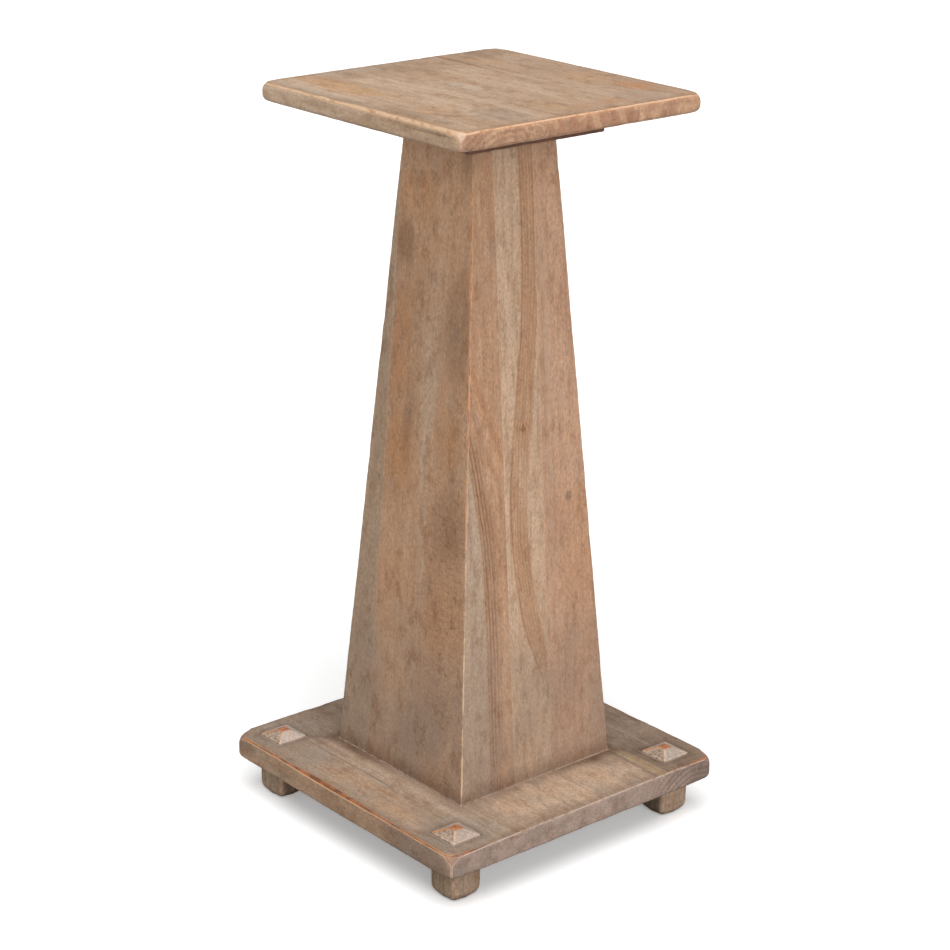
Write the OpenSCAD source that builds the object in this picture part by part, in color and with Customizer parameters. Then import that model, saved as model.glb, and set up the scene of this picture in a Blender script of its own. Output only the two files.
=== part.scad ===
// Tapered wooden display pedestal: a square top on a hollow column of four
// mitred boards, standing on a square base slab with four block feet.
// Millimetres, +Z up. The origin is on the floor, under the middle of the base.
// The front is -Y and the right is +X.

/* [Overall] */
// Height from the floor to the top surface
total_h = 762; // [500:1:1200]

/* [Top] */
// Side of the square top slab
top_w = 305; // [240:1:500]
// Thickness of the top slab
top_t = 19; // [15:0.5:40]
// Side of the smaller plate under the top slab
plate_w = 172; // [130:1:230]
// Thickness of the plate under the top slab
plate_t = 22; // [12:0.5:40]

/* [Column] */
// Side of the column where it meets the plate
column_top_w = 105; // [60:1:128]
// Side of the column where it meets the base slab
column_foot_w = 202; // [130:1:300]
// Thickness of the four column boards, measured level
column_wall = 19; // [10:0.5:25]

/* [Base slab] */
// Width of the base slab that shows around the column
ledge_w = 78.5; // [62:0.5:150]
// Thickness of the base slab
base_t = 26; // [16:0.5:50]

/* [Studs] */
// Side of each square stud
stud_w = 35; // [20:0.5:42]
// Height of the stud's straight rim above the base slab
stud_rim_h = 0.8; // [0.2:0.1:3]
// Height of the stud's pyramid above its rim
stud_pyramid_h = 6.2; // [2:0.1:12]
// Side of the worn flat at the tip of the pyramid
stud_tip_w = 7; // [1:0.5:10]
// Depth of the pocket that each stud is seated in
stud_pocket_d = 1.5; // [0.5:0.1:4]
// Gap between a stud and the wall of its pocket
stud_gap = 0.5; // [0.2:0.1:1.5]

/* [Feet] */
// Side of each square foot
foot_w = 39; // [20:0.5:46]
// Height of the feet
foot_h = 39; // [15:1:80]
// Distance from the edge of the base slab to the middle of a foot and its stud
foot_centre_inset = 37; // [25:0.5:38]

/* [Rounded edges] */
// Radius of the top slab's upper and lower edges
top_edge_r = 4; // [1:0.5:7]
// Radius of the top slab's upright corners
top_corner_r = 10; // [1:0.5:12]
// Radius of the plate's edges and corners
plate_edge_r = 2; // [0.5:0.5:5]
// Radius of the base slab's upper and lower edges
base_edge_r = 4; // [1:0.5:7]
// Radius of the base slab's upright corners
base_corner_r = 10; // [1:0.5:12]
// Radius of the lower edges of the feet
foot_edge_r = 7; // [1:0.5:8]
// Radius of the upright corners of the feet
foot_corner_r = 6; // [1:0.5:8]

/* [Hidden] */
$fn = 48;

// Levels of the joints between the pieces, from the floor up
base_top_z = foot_h + base_t;
top_under_z = total_h - top_t;
plate_under_z = top_under_z - plate_t;

base_w = column_foot_w + 2 * ledge_w;
foot_centre = base_w / 2 - foot_centre_inset;

top_colour = [0.74, 0.63, 0.53];
plate_colour = [0.45, 0.33, 0.27];
column_colour = [0.68, 0.55, 0.45];
base_colour = [0.65, 0.56, 0.48];
stud_colour = [0.70, 0.60, 0.51];
foot_colour = [0.55, 0.46, 0.39];

// Each side of the column: its name and its turn from the front
SIDES = [["front", 0], ["right", 90], ["back", 180], ["left", 270]];
// Each corner of the base: its name and the signs of its X and Y
CORNERS = [
    ["front_left", [-1, -1]],
    ["front_right", [1, -1]],
    ["back_left", [-1, 1]],
    ["back_right", [1, 1]]
];

// A rectangle with four round corners, centred on X and standing on Y = 0
module rounded_rectangle(width, height, r) {
    translate([-width / 2, r])
        square([width, height - 2 * r]);
    translate([-width / 2 + r, 0])
        square([width - 2 * r, height]);
    for (side = [-1, 1], level = [r, height - r])
        translate([side * (width / 2 - r), level])
            circle(r);
}

// A square block with eased edges, centred on the Z axis and standing on Z = 0:
// where an upright bar and two level bars with rounded sections cross
module eased_block(width, height, edge_r, corner_r) {
    intersection() {
        linear_extrude(height)
            translate([0, -width / 2])
                rounded_rectangle(width, width, corner_r);
        for_each_direction()
            translate([0, width / 2, 0])
                rotate([90, 0, 0])
                    linear_extrude(width)
                        rounded_rectangle(width, height, edge_r);
    }
}

module for_each_direction() {
    intersection_for (turn = [0, 90])
        rotate([0, 0, turn])
            children();
}

module top_slab() {
    color(top_colour)
        translate([0, 0, top_under_z])
            eased_block(top_w, top_t, top_edge_r, top_corner_r);
}

module under_plate() {
    color(plate_colour)
        translate([0, 0, plate_under_z])
            eased_block(plate_w, plate_t, plate_edge_r, plate_edge_r);
}

// The front board: its outer face leans back to the narrower top of the column,
// its inner face is parallel to it, and its ends are mitred at 45 degrees
module column_board(turn) {
    foot_out = column_foot_w / 2;
    top_out = column_top_w / 2;
    foot_in = foot_out - column_wall;
    top_in = top_out - column_wall;
    corners = [
        [-foot_out, -foot_out, base_top_z], [foot_out, -foot_out, base_top_z],
        [foot_in, -foot_in, base_top_z], [-foot_in, -foot_in, base_top_z],
        [-top_out, -top_out, plate_under_z], [top_out, -top_out, plate_under_z],
        [top_in, -top_in, plate_under_z], [-top_in, -top_in, plate_under_z]
    ];
    faces = [
        [0, 1, 2, 3], [7, 6, 5, 4],
        [4, 5, 1, 0], [5, 6, 2, 1], [6, 7, 3, 2], [7, 4, 0, 3]
    ];
    color(column_colour)
        rotate([0, 0, turn])
            polyhedron(corners, faces);
}

// The slab, with a shallow square pocket for each stud
module base_slab() {
    pocket_w = stud_w + 2 * stud_gap;
    color(base_colour)
        difference() {
            translate([0, 0, foot_h])
                eased_block(base_w, base_t, base_edge_r, base_corner_r);
            for (corner = CORNERS)
                at_corner(corner, base_top_z - stud_pocket_d)
                    translate([-pocket_w / 2, -pocket_w / 2, 0])
                        cube([pocket_w, pocket_w, 2 * stud_pocket_d]);
        }
}

// A low pyramid on a short square shank that fills the pocket's depth
module stud(corner) {
    shank_h = stud_pocket_d + stud_rim_h;
    color(stud_colour)
        at_corner(corner, base_top_z - stud_pocket_d) {
            translate([-stud_w / 2, -stud_w / 2, 0])
                cube([stud_w, stud_w, shank_h]);
            translate([0, 0, shank_h])
                linear_extrude(stud_pyramid_h, scale = stud_tip_w / stud_w)
                    square(stud_w, center = true);
        }
}

// A block foot: rounded underneath, cut off flat where it meets the slab
module foot(corner) {
    color(foot_colour)
        at_corner(corner, 0)
            intersection() {
                eased_block(foot_w, foot_h + foot_edge_r, foot_edge_r, foot_corner_r);
                translate([-foot_w / 2, -foot_w / 2, 0])
                    cube([foot_w, foot_w, foot_h]);
            }
}

module at_corner(corner, level) {
    translate([corner[1][0] * foot_centre, corner[1][1] * foot_centre, level])
        children();
}

top_slab();
under_plate();
for (side = SIDES)
    column_board(side[1]);
base_slab();
for (corner = CORNERS) {
    stud(corner);
    foot(corner);
}
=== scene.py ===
# %% [markdown]
# # A worn wooden display pedestal
#
# The real object is a hand-finished stand for a plant or a bust. A square top lies on a smaller
# plate, a tapering hollow column carries both, and a square base slab stands on four block feet.
# The joinery is simple, so what makes it look real is its surface: boards glued edge to edge, open
# pores, a grey-brown wash, and corners that years of handling have worn down to the bare wood.
#
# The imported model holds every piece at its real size. This lesson loads it as a fixed frame, builds
# a finer mesh for each piece in exactly the same place, and gives each one its own wood.

# %% Load the frame
import math

import bpy
import numpy as np
from mathutils import Matrix, Vector


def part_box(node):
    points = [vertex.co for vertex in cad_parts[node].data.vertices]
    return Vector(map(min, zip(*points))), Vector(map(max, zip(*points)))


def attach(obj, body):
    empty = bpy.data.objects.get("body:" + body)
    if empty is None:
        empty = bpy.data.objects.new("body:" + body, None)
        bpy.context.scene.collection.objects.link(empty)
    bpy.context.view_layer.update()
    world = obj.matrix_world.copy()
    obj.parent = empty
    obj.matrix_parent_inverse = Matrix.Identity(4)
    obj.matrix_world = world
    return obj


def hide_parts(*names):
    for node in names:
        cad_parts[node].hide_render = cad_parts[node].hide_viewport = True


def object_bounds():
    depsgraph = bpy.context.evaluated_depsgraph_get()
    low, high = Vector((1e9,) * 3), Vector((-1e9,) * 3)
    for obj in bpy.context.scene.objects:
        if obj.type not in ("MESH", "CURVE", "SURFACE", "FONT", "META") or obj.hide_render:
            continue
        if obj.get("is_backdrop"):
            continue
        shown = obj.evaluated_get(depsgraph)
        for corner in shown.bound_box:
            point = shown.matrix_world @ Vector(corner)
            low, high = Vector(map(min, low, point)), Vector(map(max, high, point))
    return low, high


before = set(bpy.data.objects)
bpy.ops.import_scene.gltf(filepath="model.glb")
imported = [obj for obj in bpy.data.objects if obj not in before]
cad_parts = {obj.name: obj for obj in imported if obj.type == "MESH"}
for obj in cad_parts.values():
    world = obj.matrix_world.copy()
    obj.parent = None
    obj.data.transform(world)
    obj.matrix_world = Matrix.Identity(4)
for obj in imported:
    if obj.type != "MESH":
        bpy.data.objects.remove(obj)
frame_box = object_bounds()
MM = 0.001
print("pieces in the frame:", len(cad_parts))
print("height of the frame in metres:", round(frame_box[1].z, 4))

# %% [markdown]
# ## The camera
#
# A camera is easiest to place the way a photographer would say it: what it looks at, from which
# side, how far down it looks, and from how far away. The long lens keeps the upright lines nearly
# parallel. A small tilt and a small sideways step stand for a hand-held camera.

# %% Place the camera
AZIMUTH = math.radians(49.5)
LOOK_DOWN = math.radians(19.9)
TILT = math.radians(0.62)
DISTANCE = 2.5385
STEP_RIGHT = -1.1 * MM
STEP_UP = -14.5 * MM
LENS = 95.2


def camera_matrix(target):
    """The camera's place and axes, from its angles and its distance to the target."""
    ahead = Vector((
        -math.sin(AZIMUTH) * math.cos(LOOK_DOWN),
        math.cos(AZIMUTH) * math.cos(LOOK_DOWN),
        -math.sin(LOOK_DOWN),
    ))
    right = Vector((math.cos(AZIMUTH), math.sin(AZIMUTH), 0))
    up = right.cross(ahead)
    right, up = (
        right * math.cos(TILT) + up * math.sin(TILT),
        up * math.cos(TILT) - right * math.sin(TILT),
    )
    place = target - ahead * DISTANCE + right * STEP_RIGHT + up * STEP_UP
    matrix = Matrix((right, up, -ahead)).transposed().to_4x4()
    matrix.translation = place
    return matrix


camera = bpy.data.objects.new("camera", bpy.data.cameras.new("camera"))
camera.data.lens = LENS
camera.matrix_world = camera_matrix(Vector((0, 0, frame_box[1].z / 2)))
bpy.context.scene.collection.objects.link(camera)
bpy.context.scene.camera = camera
print("camera at", [round(value, 3) for value in camera.location])

# %% [markdown]
# ## A class for shader arithmetic
#
# Blender's materials are graphs of nodes, and wiring them one by one hides the idea behind them.
# This small class wraps one output socket. Adding or multiplying two of them adds a Math node, so
# a mask can be written as ordinary arithmetic. One more method adds any other kind of node.

# %% The socket class


class Wire:
    """An output socket in a node tree, with arithmetic."""

    def __init__(self, socket):
        self.socket = socket
        self.tree = socket.id_data

    def node(self, kind, settings, inputs, out=0):
        """Adds a node to the same tree: first its settings, then its sockets' values or links."""
        made = self.tree.nodes.new("ShaderNode" + kind)
        for name, value in settings.items():
            if name == "points":
                curve = made.mapping.curves[0]
                for index, point in enumerate(value):
                    if index < 2:
                        curve.points[index].location = point
                    else:
                        curve.points.new(*point)
                made.mapping.update()
            else:
                setattr(made, name, value)
        for name, value in inputs.items():
            if isinstance(value, Wire):
                self.tree.links.new(value.socket, made.inputs[name])
            else:
                made.inputs[name].default_value = value
        return Wire(made.outputs[out]) if made.outputs else None

    def math(self, operation, *others):
        return self.node("Math", {"operation": operation}, dict(enumerate((self, *others))))

    def __add__(self, other):
        return self.math("ADD", other)

    def __sub__(self, other):
        return self.math("SUBTRACT", other)

    def __rsub__(self, other):
        return self.node("Math", {"operation": "SUBTRACT"}, {0: other, 1: self})

    def __mul__(self, other):
        return self.math("MULTIPLY", other)

    def __truediv__(self, other):
        return self.math("DIVIDE", other)

    __radd__ = __add__
    __rmul__ = __mul__


# %% [markdown]
# ## Helpers that every wood shares
#
# A colour is written as it looks on screen and turned into the linear light that the renderer
# works with. A mask is a number from 0 to 1 that says how strongly something shows. Most masks
# here come from a smooth step over a distance in metres, so their sizes are real sizes.

# %% Colours, masks and noise


def paint(red, green, blue):
    """A colour from its screen values of 0 to 255."""
    shares = [value / 255 for value in (red, green, blue)]
    linear = [s / 12.92 if s < 0.04045 else ((s + 0.055) / 1.055) ** 2.4 for s in shares]
    return (*linear, 1.0)


def rise(value, low, high):
    """0 below low, 1 above high, and smooth between; swap them for a mask that falls."""
    inputs = {"Value": value, "From Min": low, "From Max": high}
    return value.node("MapRange", {"interpolation_type": "SMOOTHSTEP"}, inputs)


def mix(mask, first, second):
    """The first colour where the mask is 0, the second where it is 1."""
    settings = {"data_type": "RGBA"}
    return mask.node("Mix", settings, {0: mask, 6: first, 7: second}, out=2)


def tint(mask, colour, shade):
    """Multiplies a colour by a shade where the mask is 1, as a thin glaze does."""
    settings = {"data_type": "RGBA", "blend_type": "MULTIPLY"}
    return mask.node("Mix", settings, {0: mask, 6: colour, 7: shade}, out=2)


def shade(colour, factor):
    """Brightens or darkens a colour by a factor around 1."""
    return colour.node("VectorMath", {"operation": "SCALE"}, {0: colour, "Scale": factor})


def stretched(place, scales):
    """Coordinates squeezed along an axis, so that noise on them runs out along it."""
    return place.node("VectorMath", {"operation": "MULTIPLY"}, {0: place, 1: scales})


def noise(place, size, detail=2.0, rough=0.5):
    """Cloudy noise around 0.5, whose features are about `size` metres across."""
    inputs = {"Vector": place, "Scale": 1 / size, "Detail": detail, "Roughness": rough}
    return place.node("TexNoise", {}, inputs)


def near(value, centre, reach):
    """1 where the value equals the centre, falling to 0 at the reach."""
    return rise((value - centre).math("ABSOLUTE"), reach, 0.0)


def patch(first, second, centre, size, ragged):
    """1 inside a soft oval with a ragged outline; `size` holds its two half widths."""
    along = (first - centre[0]) / size[0]
    across = (second - centre[1]) / size[1]
    return rise(along * along + across * across + (ragged - 0.5) * 3.0, 1.3, 0.2)


def hand_patches(colour, first, second, marks, ragged):
    """Lays patches over a colour: each has a centre and half widths in mm, a tone and a strength."""
    for centre, size, tone, strength in marks:
        place = tuple(value * MM for value in centre)
        reach = tuple(value * MM for value in size)
        colour = mix(patch(first, second, place, reach, ragged) * strength, colour, tone)
    return colour


def curve(value, low, high, points, spread):
    """A drawn curve: value from low to high gives an offset from -spread to +spread."""
    share = (value - low) / (high - low)
    drawn = [((at - low) / (high - low), 0.5 + offset / (2 * spread)) for at, offset in points]
    ends = [drawn[0], drawn[-1], *drawn[1:-1]]
    return (share.node("FloatCurve", {"points": ends}, {"Value": share}) - 0.5) * (2 * spread)


print("a mid brown in linear light:", [round(v, 3) for v in paint(160, 118, 88)])

# %% [markdown]
# ## The wood itself
#
# The stand is made of a pale tropical hardwood with a grey-brown wash. Close up it has four layers:
# broad clouds of tone, long fibre streaks, growth rings, and short dark pores that run with the
# grain. All four are noise in the coordinates of the solid, squeezed along the grain. Because they
# are solid textures they run over an arris on to the next face, as real grain does, and they turn
# into dots and arcs on end grain with no extra work.

# %% Growth rings, fibres and pores


def start_material(name):
    """A new material with an empty tree; returns it with its places in metres and its normals."""
    material = bpy.data.materials.new(name)
    material.use_nodes = True
    material.node_tree.nodes.clear()
    coordinates = material.node_tree.nodes.new("ShaderNodeTexCoord")
    return material, Wire(coordinates.outputs["Object"]), Wire(coordinates.outputs["Normal"])


def axes(vector):
    """The three numbers of a vector."""
    parts = vector.node("SeparateXYZ", {}, {0: vector})
    return [Wire(socket) for socket in parts.socket.node.outputs]


def strip_number(across, seams):
    """0 on the first glued strip, 1 on the second, and so on."""
    total = across * 0.0
    for seam in seams:
        total = total + across.math("GREATER_THAN", seam)
    return total


def shifted(place, number):
    """Moves the pattern for each strip, so that no two strips share their grain."""
    inputs = {0: (0.37, 0.61, 0.23), "Scale": number}
    offset = place.node("VectorMath", {"operation": "SCALE"}, inputs)
    return place.node("VectorMath", {"operation": "ADD"}, {0: place, 1: offset})


def grain(place, along):
    """The layers of one wood. `along` holds 1 for the axis that the grain follows, else 0."""
    def squeeze(share):
        return tuple(share if axis else 1.0 for axis in along)

    return {
        "clouds": noise(stretched(place, squeeze(0.3)), 0.045, 3.0),
        "streaks": noise(stretched(place, squeeze(0.035)), 0.0055, 4.0, 0.6),
        "fibres": noise(stretched(place, squeeze(0.10)), 0.0016, 2.0, 0.6),
        "pores": noise(stretched(place, squeeze(0.20)), 0.0011, 1.0),
        "wash": noise(stretched(place, squeeze(0.5)), 0.022, 4.0, 0.65),
        "mottle": noise(stretched(place, squeeze(0.6)), 0.013, 4.0, 0.7),
        "grit": noise(stretched(place, squeeze(0.6)), 0.0022, 2.0, 0.7),
    }


def rings(first, second, centre, wobble, spacing):
    """Growth rings round a pith that runs along the grain, as a wave from 0 to 1."""
    across = first - centre[0] + (wobble - 0.5) * 0.03
    deep = second - centre[1]
    radius = (across * across + deep * deep).math("SQRT")
    wave = (radius * (2 * math.pi / spacing) + wobble * 9.0).math("SINE")
    return rise(wave, -0.9, 0.95)


# %% [markdown]
# ## Wear
#
# Hands, cloths and sandpaper take the wash off wherever two faces meet. On a box, the distance to
# the nearest edge is the middle one of a point's three distances to the box's faces. Noise makes
# the worn line swell and break. Its outside is pale bare wood, and where the wear is deepest an
# older orange coat shows.

# %% Edge masks and the finish


def middle_of(first, second, third):
    """The middle one of three values."""
    low = first.math("MINIMUM", second)
    high = first.math("MAXIMUM", second)
    return low.math("MAXIMUM", high.math("MINIMUM", third))


def box_distances(place, low, high):
    """Distances in from a box's sides in x, y and z, each to the nearer side."""
    found = []
    for value, least, most in zip(axes(place), low, high):
        centre = (least + most) / 2
        half = (most - least) / 2
        found.append(half - (value - centre).math("ABSOLUTE"))
    return found


def finish(place, colour, relief, roughness, material, depth=0.25):
    """Closes a wood material: its colour, roughness and the relief that the light catches."""
    bump = relief.node(
        "Bump", {}, {"Strength": 0.6, "Distance": depth * MM, "Height": relief}
    )
    inputs = {
        "Base Color": colour,
        "Roughness": roughness,
        "Normal": bump,
        "Specular IOR Level": 0.3,
    }
    shader = place.node("BsdfPrincipled", {}, inputs)
    shader.node("OutputMaterial", {}, {"Surface": shader})
    print(material.name, "has", len(material.node_tree.nodes), "nodes")
    return material


# %% [markdown]
# ## Rubbed arrises
#
# A rubbed arris is not one clean line. Where it is sharp, as on the column, it is a bare band with
# a darker core. Where it is rounded, as on the slabs, it has three stripes: a border on the upper
# face, the core on the arris, and a border on the face below. At an upright corner the wear runs
# down in a narrowing patch with a pale outline. Each is a mask made from distances to the faces.

# %% Lay the wear over a colour
BARE = paint(226, 190, 156)
ORANGE = paint(206, 136, 86)
RUST = paint(152, 84, 52)


def rounded_inset(in_x, in_y, radius):
    """Distance in from the outline of a square whose corners have this radius."""
    across = (radius - in_x).math("MAXIMUM", 0.0)
    along = (radius - in_y).math("MAXIMUM", 0.0)
    return radius - (across * across + along * along).math("SQRT")


def worn(colour, edge, ragged, rusty, width, bare, rust):
    """Lays a worn line over a colour: a bare band that swells and thins, and a core inside it."""
    reach = (rise(ragged, 0.30, 0.70) * 0.9 + 0.45) * width
    band = rise(edge, reach, reach - 0.9 * MM)
    inner = reach * 0.78
    core = rise(edge, inner, inner - 0.7 * MM)
    colour = mix(band * bare, colour, BARE)
    return mix(core * rust, colour, mix(rise(rusty, 0.42, 0.58), ORANGE, RUST))


def striped(colour, over, width, tones, strength):
    """A rubbed arris in three stripes. `over` runs from below 0 on the upper face to above 0.

    The tones are the upper border, the core and the lower border.
    """
    share = over / width
    upper, core, lower = tones
    colour = mix(rise(share, -1.55, -1.25) * rise(share, -0.55, -0.85) * strength, colour, upper)
    colour = mix(rise(share, -0.90, -0.65) * rise(share, 0.45, 0.25) * strength, colour, core)
    return mix(rise(share, 0.25, 0.45) * rise(share, 0.95, 0.70) * strength, colour, lower)


def corner_wear(colour, in_x, in_y, in_z, ragged, arm, tones, strength):
    """The rubbed upright corner: it starts below the arris, `arm` wide, with a pale outline."""
    beside = (in_x - in_y).math("ABSOLUTE") + (ragged - 0.5) * (6 * MM)
    spread = rise(in_z, 14 * MM, 0.0)
    reach = spread * spread * arm + 1.0 * MM
    close = rise(in_x.math("MAXIMUM", in_y), 24 * MM, 14 * MM) * rise(in_z, 0.8 * MM, 2.6 * MM)
    close = close * (rise(ragged, 0.36, 0.54) * 0.7 + 0.3) * strength
    colour = mix(rise(beside - reach, 1.6 * MM, -1.6 * MM) * close, colour, tones[0])
    return mix(near(beside, reach, 1.5 * MM) * close * 0.8, colour, tones[1])


print("bare wood in linear light:", [round(v, 3) for v in BARE[:3]])

# %% [markdown]
# ## Pores, wash and relief
#
# Three things finish every wood on this stand. The pores and fibres are darkened, the wash is made
# uneven in blotches as wide as a thumb, and the same layers are summed once more into a height, so
# that the light catches the grain where the colour shows it.

# %% Open the pores and weather the surface
PORE = paint(112, 86, 68)
# A dull tone that serves both for grime and for painted shade.
GRIME_AND_SHADE = paint(150, 132, 116)


def open_pores(colour, layers, strength):
    """Darkens the short pores and the fibres between them."""
    ticks = rise(layers["pores"], 0.56, 0.70)
    colour = mix(rise(layers["fibres"], 0.45, 0.75) * (strength * 0.45), colour, PORE)
    return mix(ticks * strength, colour, PORE)


def planed_relief(layers, fibres, pores, grit):
    """How high the planed surface stands: streaks and fibres up, pores down, grit over all."""
    relief = layers["streaks"] * 0.5 + layers["fibres"] * fibres
    return relief - rise(layers["pores"], 0.55, 0.7) * pores + layers["grit"] * grit


def weathered(colour, layers, blotches, grit):
    """The uneven wash: warm and dull blotches as wide as a thumb, with a fine grit over them."""
    colour = tint(rise(layers["mottle"], 0.50, 0.66) * blotches, colour, paint(224, 206, 188))
    factor = (layers["grit"] - 0.5) * grit + (layers["mottle"] - 0.5) * (blotches * -0.5) + 1.0
    return shade(colour, factor)


print("a pore in linear light:", [round(v, 3) for v in PORE[:3]])

# %% [markdown]
# ## Slabs that are not quite flat
#
# A board that was planed and sanded by hand is never a perfect box. Each slab here starts as a
# closed box whose six faces are cut into a grid, close together near the arrises and wider apart
# in the middle. The corners are then rounded by formula, and the whole skin is pushed inward by a
# fraction of a millimetre, more at the edges. It is only ever pushed inward, so the piece stays
# inside its solid.

# %% Cut a box into a grid


def cuts(low, high, edge, middle, steps=8, extra=()):
    """Places to cut a length: close together within `edge` of its ends, `middle` apart between."""
    fine = np.linspace(0, edge, steps, endpoint=False)
    count = max(2, round((high - low - 2 * edge) / middle))
    wide = np.linspace(low + edge, high - edge, count + 1)
    return np.unique(np.round(np.concatenate([low + fine, wide, high - fine, extra]), 6))


def grid_box(xs, ys, zs):
    """Points and quads of a closed box whose faces are cut at the given places."""
    shape = (len(xs), len(ys), len(zs))
    skin = np.ones(shape, bool)
    skin[1:-1, 1:-1, 1:-1] = False
    number = np.full(shape, -1)
    number[skin] = np.arange(skin.sum())
    points = np.stack(np.meshgrid(xs, ys, zs, indexing="ij"), -1)[skin]
    quads = []
    for axis in range(3):
        for end in (0, -1):
            side = np.take(number, end, axis=axis)
            loop = [side[:-1, :-1], side[1:, :-1], side[1:, 1:], side[:-1, 1:]]
            found = np.stack(loop, -1).reshape(-1, 4)
            turned = (end == 0) != (axis == 1)
            quads.append(found[:, ::-1] if turned else found)
    return points, np.concatenate(quads)


def into_arc(inset, sink, radius):
    """Turns the square end of a section into a quarter circle of the given radius."""
    across = np.clip(radius - inset, 0, None)
    down = np.clip(radius - sink, 0, None)
    curved = (across > 0) & (down > 0)
    reach = np.where(curved, np.maximum(across, down) / np.maximum(np.hypot(across, down), 1e-9), 1)
    return (
        np.where(curved, radius - across * reach, inset),
        np.where(curved, radius - down * reach, sink),
    )


def eased(points, low, high, radii, knocked=(0.0, 0.0)):
    """Rounds a grid box. The radii are of its upper edges, its lower edges and its upright corners.

    `knocked` adds to the upper and lower radius near the corners, where a piece takes its knocks.
    """
    top_r, bottom_r, corner_r = radii
    low, high = np.array(low), np.array(high)
    centre = (low + high) / 2
    half = (high - low) / 2
    p = points - centre
    insets = half[:2] - np.abs(p[:, :2])
    inset = insets.min(axis=1)
    more = np.clip(1 - insets.max(axis=1) / (20 * MM), 0, 1) ** 0.7
    upper_inset, upper_sink = into_arc(inset, half[2] - p[:, 2], top_r + knocked[0] * more)
    lower_inset, lower_sink = into_arc(inset, half[2] + p[:, 2], bottom_r + knocked[1] * more)
    upper = p[:, 2] > 0
    new_inset = np.where(upper, upper_inset, lower_inset)
    p[:, 2] = np.where(upper, half[2] - upper_sink, lower_sink - half[2])
    p[:, :2] *= (half[:2] - new_inset[:, None]) / np.maximum(half[:2] - inset[:, None], 1e-9)
    over = np.clip(np.abs(p[:, :2]) - (half[:2] - corner_r), 0, None)
    both = over.min(axis=1) > 0
    shrink = np.where(both, over.max(axis=1) / np.maximum(np.hypot(*over.T), 1e-9), 1)
    inner = np.minimum(np.abs(p[:, :2]), half[:2] - corner_r)
    p[:, :2] = np.sign(p[:, :2]) * (inner + over * shrink[:, None])
    return p + centre


corner_test = grid_box(*[np.linspace(0, 1, 3)] * 3)
print("a box cut once each way has", len(corner_test[0]), "points and", len(corner_test[1]), "quads")

# %% [markdown]
# ## Noise for the mesh, and dents
#
# Materials have their own noise, but a mesh needs one in Python. Random numbers sit on a cubic
# lattice, and each point blends the eight around it. A fixed seed gives the same wear every time.
# A dent is a soft push along the surface's normal.

# %% Push the skin inward


def lump(points, cell, seed):
    """Smooth noise from 0 to 1 with lumps of about `cell` metres, which may differ by axis."""
    table = np.random.default_rng(seed).random((24, 24, 24))
    place = points / np.array(cell) + 500
    base = np.floor(place).astype(int)
    share = place - base
    share = share * share * (3 - 2 * share)
    total = np.zeros(len(points))
    for corner in np.ndindex(2, 2, 2):
        weight = np.prod(np.where(corner, share, 1 - share), axis=1)
        total += weight * table[tuple(((base + corner) % 24).T)]
    return total


def dent(points, centre, radius, depth):
    """How far a round dent pushes each point in."""
    away = np.linalg.norm((points - np.array(centre)) / radius, axis=1)
    return depth * np.exp(-2 * away ** 2)


def groove(across, seams, width, depth):
    """How far the fine line between two glued strips lies below the surface."""
    total = np.zeros(len(across))
    for seam in seams:
        total += depth * np.clip(1 - np.abs(across - seam) / width, 0, 1)
    return total


def make_mesh(name, points, quads):
    """A smooth-shaded object from arrays of points and quads."""
    mesh = bpy.data.meshes.new(name)
    mesh.from_pydata(points.tolist(), [], quads.tolist())
    mesh.polygons.foreach_set("use_smooth", np.ones(len(mesh.polygons), bool))
    mesh.update()
    piece = bpy.data.objects.new(name, mesh)
    bpy.context.scene.collection.objects.link(piece)
    return piece


def push_in(piece, amount):
    """Moves every vertex inward along its normal by its own amount."""
    count = len(piece.data.vertices)
    points = np.empty(count * 3)
    piece.data.vertices.foreach_get("co", points)
    normals = np.empty(count * 3)
    piece.data.vertices.foreach_get("normal", normals)
    moved = points.reshape(-1, 3) - normals.reshape(-1, 3) * amount[:, None]
    piece.data.vertices.foreach_set("co", moved.ravel())
    piece.data.update()


def settle(piece, node, material):
    """Gives a piece its wood and its place in the frame, and hides the CAD node that it stands for."""
    piece.data.materials.append(material)
    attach(piece, "root")
    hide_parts(node)
    print(piece.name, "has", 2 * len(piece.data.polygons), "triangles")


def edge_distance(points, low, high):
    """The distance of each point to the nearest edge of its box."""
    sides = np.minimum(points - np.array(low), np.array(high) - points)
    return np.sort(sides, axis=1)[:, 1]


def hand_worn(points, low, high, along, seed):
    """The inward push of a hand-worn slab: slow waves, raised grain and nibbled arrises."""
    streak = np.where(along, 60, 4) * MM
    nearness = np.clip(1 - edge_distance(points, low, high) / (6 * MM), 0, 1)
    waves = lump(points, 55 * MM, seed) * 0.30 * MM
    fibres = lump(points, streak, seed + 1) * 0.14 * MM
    nibbles = lump(points, 13 * MM, seed + 2) ** 3 * 1.1 * MM
    nicks = np.clip(lump(points, 5 * MM, seed + 3) - 0.62, 0, 1) * 1.4 * MM
    return waves + fibres + nearness * (nibbles + nicks)


# %% [markdown]
# ## The top
#
# The top is three boards glued edge to edge. Their grain runs from side to side, so the front edge
# shows long grain and the right edge shows end grain. Two seams, a small notch on the left edge and
# a few pits are modelled, since light catches them. A swirl of grain near the right front corner
# marks where a branch once grew.

# %% Build the top slab
GRAIN_X = (True, False, False)
top_low, top_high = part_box("top_slab")
TOP_SEAMS = (-49.5 * MM, 66 * MM)
TOP_RADII = (4.5 * MM, 4 * MM, 10.5 * MM)
TOP_KNOT = (50 * MM, -85 * MM)
KNOT_RING = 14.96 * MM
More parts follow.
